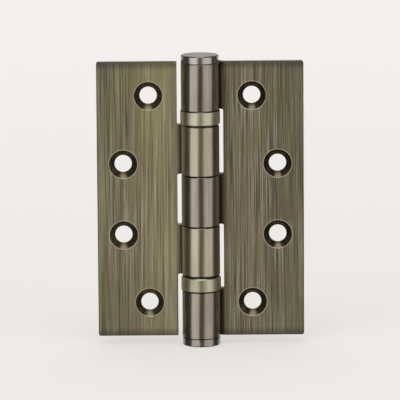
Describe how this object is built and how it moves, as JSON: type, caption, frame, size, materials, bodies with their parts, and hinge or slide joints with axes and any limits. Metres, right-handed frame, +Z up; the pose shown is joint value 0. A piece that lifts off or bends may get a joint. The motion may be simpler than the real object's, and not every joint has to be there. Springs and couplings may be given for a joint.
{
  "type": "ball bearing butt hinge",
  "caption": "Butt hinge with rolled knuckles on a straight pin, ball bearing rings between knuckles, flat button tips and zigzag countersunk screw holes, in brushed antique brass.",
  "frame": {"origin": "on the pin axis at half the height of the leaves", "axes": "+Z up along the pin, +X towards the frame leaf's outer edge with the hinge opened flat, +Y towards the backs of the leaves, so the countersunk faces look along -Y"},
  "size_m": [0.076, 0.0146, 0.1078],
  "materials": {
    "leaf_antique_brass": "antique brass plating brushed along the pin",
    "tip_antique_brass": "satin antique brass plating",
    "shell_antique_brass": "bright antique brass plating",
    "pin_steel": "ground steel",
    "bearing_steel": "polished bearing steel",
    "cage_brass": "pressed brass"
  },
  "bodies": {
    "frame_side": {"frame_leaf": "leaf_antique_brass", "pin": "pin_steel", "top_tip": "tip_antique_brass", "bottom_tip": "tip_antique_brass", "upper_bearing_shell": "shell_antique_brass", "lower_bearing_shell": "shell_antique_brass"},
    "door_side": {"door_leaf": "leaf_antique_brass", "upper_bearing_door_race": "bearing_steel", "lower_bearing_door_race": "bearing_steel"},
    "upper_ball_set": {"upper_bearing_cage": "cage_brass", "upper_bearing_ball_1": "bearing_steel", "upper_bearing_ball_2": "bearing_steel", "upper_bearing_ball_3": "bearing_steel", "upper_bearing_ball_4": "bearing_steel", "upper_bearing_ball_5": "bearing_steel", "upper_bearing_ball_6": "bearing_steel"},
    "lower_ball_set": {"lower_bearing_cage": "cage_brass", "lower_bearing_ball_1": "bearing_steel", "lower_bearing_ball_2": "bearing_steel", "lower_bearing_ball_3": "bearing_steel", "lower_bearing_ball_4": "bearing_steel", "lower_bearing_ball_5": "bearing_steel", "lower_bearing_ball_6": "bearing_steel"}
  },
  "joints": [
    {"name": "leaf_swing", "type": "hinge", "parent": "frame_side", "child": "door_side", "pos_m": [0, 0, 0], "axis": [0, 0, 1], "range_deg": [-105, 180]},
    {"name": "upper_balls_roll", "type": "hinge", "parent": "frame_side", "child": "upper_ball_set", "pos_m": [0, 0, 0.03], "axis": [0, 0, 1], "range_deg": [-52.5, 90]},
    {"name": "lower_balls_roll", "type": "hinge", "parent": "frame_side", "child": "lower_ball_set", "pos_m": [0, 0, -0.03], "axis": [0, 0, 1], "range_deg": [-52.5, 90]}
  ],
  "couplings": [
    {"joint": "upper_balls_roll", "follows": "leaf_swing", "ratio": 0.5},
    {"joint": "lower_balls_roll", "follows": "leaf_swing", "ratio": 0.5}
  ]
}
